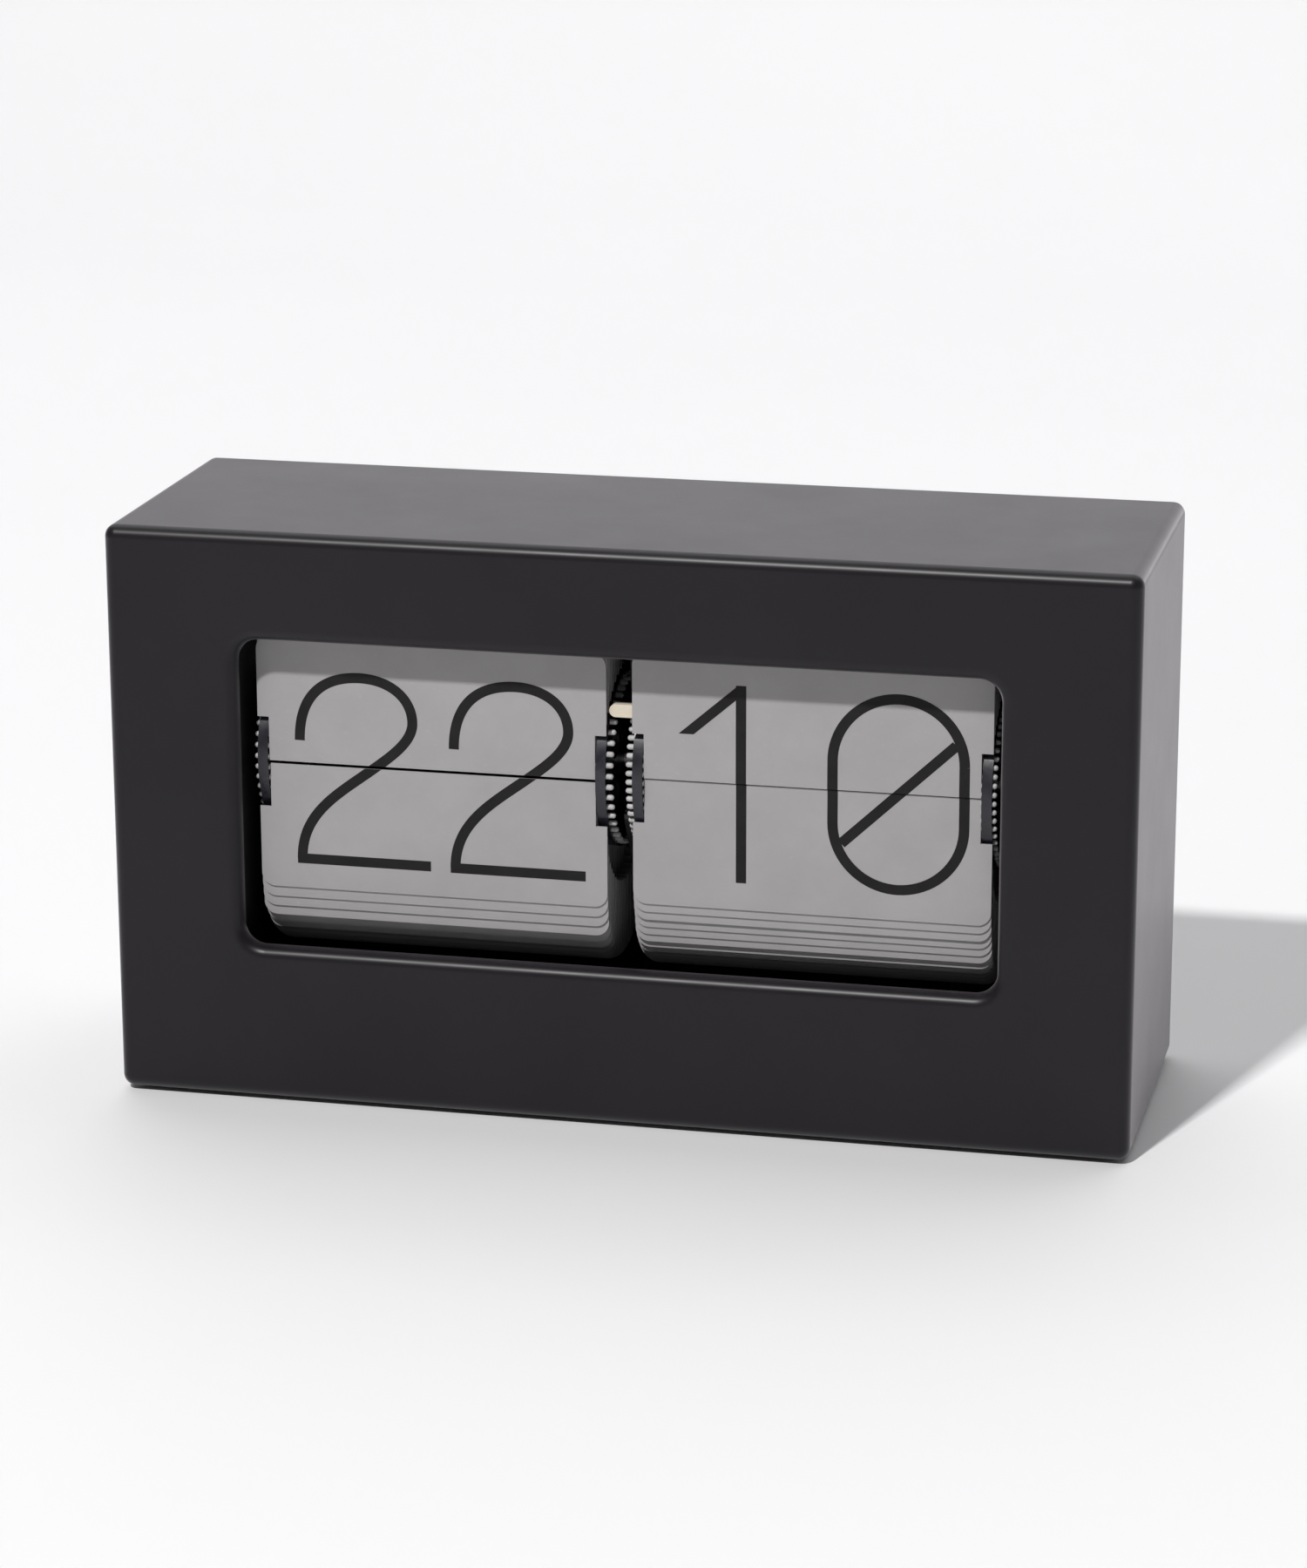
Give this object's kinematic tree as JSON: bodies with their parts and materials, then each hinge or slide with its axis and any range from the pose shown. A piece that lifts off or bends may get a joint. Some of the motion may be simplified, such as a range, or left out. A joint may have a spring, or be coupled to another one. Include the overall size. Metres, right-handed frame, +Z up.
{
  "type": "flip number clock",
  "caption": "Boxed table clock with two reels of falling number flaps behind an open window, gear train, and battery bay at the rear.",
  "frame": {"origin": "centre of the footprint on the table, at the base of the feet", "axes": "+X to the right seen from the front, +Y to the back, +Z up"},
  "size_m": [0.205, 0.068, 0.1174],
  "materials": {
    "case_plastic": "matte black, fine moulded texture",
    "black_plastic": "satin black moulding",
    "flap_plastic": "matte grey sheet, printed digits",
    "cream_plastic": "natural acetal",
    "setting_plastic": "knurled satin black",
    "motor_plastic": "natural nylon housing",
    "steel": "plated",
    "bronze": "sintered",
    "rubber": "soft",
    "cell_jacket": "printed sleeve, no lettering",
    "board_laminate": "solder mask",
    "chip_black": "moulded"
  },
  "bodies": {
    "chassis": {"battery_box": "case_plastic", "battery_cells": "cell_jacket", "board_chip": "chip_black", "board_crystal": "steel", "board_posts": "steel", "catch_rail": "steel", "centre_bracket": "black_plastic", "centre_bush": "bronze", "circuit_board": "board_laminate", "contact_plates": "steel", "contact_spring": "steel", "cover_screws": "steel", "front_case": "case_plastic", "hour_flap_catch": "steel", "hour_front_flap": "flap_plastic", "hour_hanging_flaps": "flap_plastic", "hour_next_flap": "flap_plastic", "hour_standing_flaps": "flap_plastic", "left_bush": "bronze", "left_side_plate": "black_plastic", "lever_pin": "steel", "minute_flap_catch": "steel", "minute_front_flap": "flap_plastic", "minute_hanging_flaps": "flap_plastic", "minute_next_flap": "flap_plastic", "minute_standing_flaps": "flap_plastic", "motion_stud": "steel", "motor_body": "motor_plastic", "motor_posts": "steel", "rear_cover": "case_plastic", "right_bush": "bronze", "right_side_plate": "black_plastic", "rubber_feet": "rubber", "setting_axle": "steel", "tie_bars": "steel", "tie_screws": "steel"},
    "minute_reel": {"minute_outer_disc": "black_plastic", "minute_inner_disc": "black_plastic", "minute_drum": "black_plastic", "minute_flap_pins": "flap_plastic", "minute_tube": "steel", "drive_gear": "cream_plastic", "minute_pinion": "cream_plastic"},
    "hour_reel": {"hour_outer_disc": "black_plastic", "hour_inner_disc": "black_plastic", "hour_drum": "black_plastic", "hour_flap_pins": "flap_plastic", "hour_shaft": "steel", "shaft_clip": "steel", "hour_wheel": "cream_plastic"},
    "motion_gear": {"motion_wheel": "cream_plastic"},
    "motor_output": {"motor_pinion": "cream_plastic"},
    "setting_thumbwheel": {"setting_wheel": "setting_plastic"},
    "minute_flap": {"minute_falling_flap": "flap_plastic"},
    "hour_flap": {"hour_falling_flap": "flap_plastic"},
    "trip_lever": {"hour_trip_lever": "black_plastic", "trip_finger": "cream_plastic"},
    "rear_door": {"battery_door": "case_plastic"}
  },
  "joints": [
    {"name": "minute_reel_turn", "type": "hinge", "parent": "chassis", "child": "minute_reel", "pos_m": [0, -0.009, 0.0695], "axis": [1, 0, 0], "continuous": true},
    {"name": "hour_reel_turn", "type": "hinge", "parent": "chassis", "child": "hour_reel", "pos_m": [0, -0.009, 0.0695], "axis": [1, 0, 0], "continuous": true},
    {"name": "motion_gear_turn", "type": "hinge", "parent": "chassis", "child": "motion_gear", "pos_m": [0, -0.00399, 0.04373], "axis": [1, 0, 0], "continuous": true},
    {"name": "motor_output_turn", "type": "hinge", "parent": "chassis", "child": "motor_output", "pos_m": [0, 0.00797, 0.08647], "axis": [1, 0, 0], "continuous": true},
    {"name": "setting_wheel_turn", "type": "hinge", "parent": "chassis", "child": "setting_thumbwheel", "pos_m": [0, 0.01819, 0.05682], "axis": [1, 0, 0], "continuous": true},
    {"name": "minute_flap_fall", "type": "hinge", "parent": "chassis", "child": "minute_flap", "pos_m": [0, -0.02574, 0.07093], "axis": [1, 0, 0], "range_deg": [0, 180]},
    {"name": "hour_flap_fall", "type": "hinge", "parent": "chassis", "child": "hour_flap", "pos_m": [0, -0.02579, 0.07006], "axis": [1, 0, 0], "range_deg": [0, 180]},
    {"name": "trip_lever_rock", "type": "hinge", "parent": "chassis", "child": "trip_lever", "pos_m": [0, -0.014, 0.104], "axis": [1, 0, 0], "range_deg": [0, 4], "stiffness_Nm_per_rad": 0.002},
    {"name": "battery_door_open", "type": "hinge", "parent": "chassis", "child": "rear_door", "pos_m": [0, 0.0292, 0.0078], "axis": [-1, 0, 0], "range_deg": [0, 90]}
  ],
  "couplings": [
    {"joint": "hour_reel_turn", "follows": "minute_reel_turn", "ratio": 0.041667},
    {"joint": "motion_gear_turn", "follows": "minute_reel_turn", "ratio": -0.16667},
    {"joint": "motor_output_turn", "follows": "minute_reel_turn", "ratio": -7},
    {"joint": "setting_wheel_turn", "follows": "minute_reel_turn", "ratio": -2.3333}
  ]
}
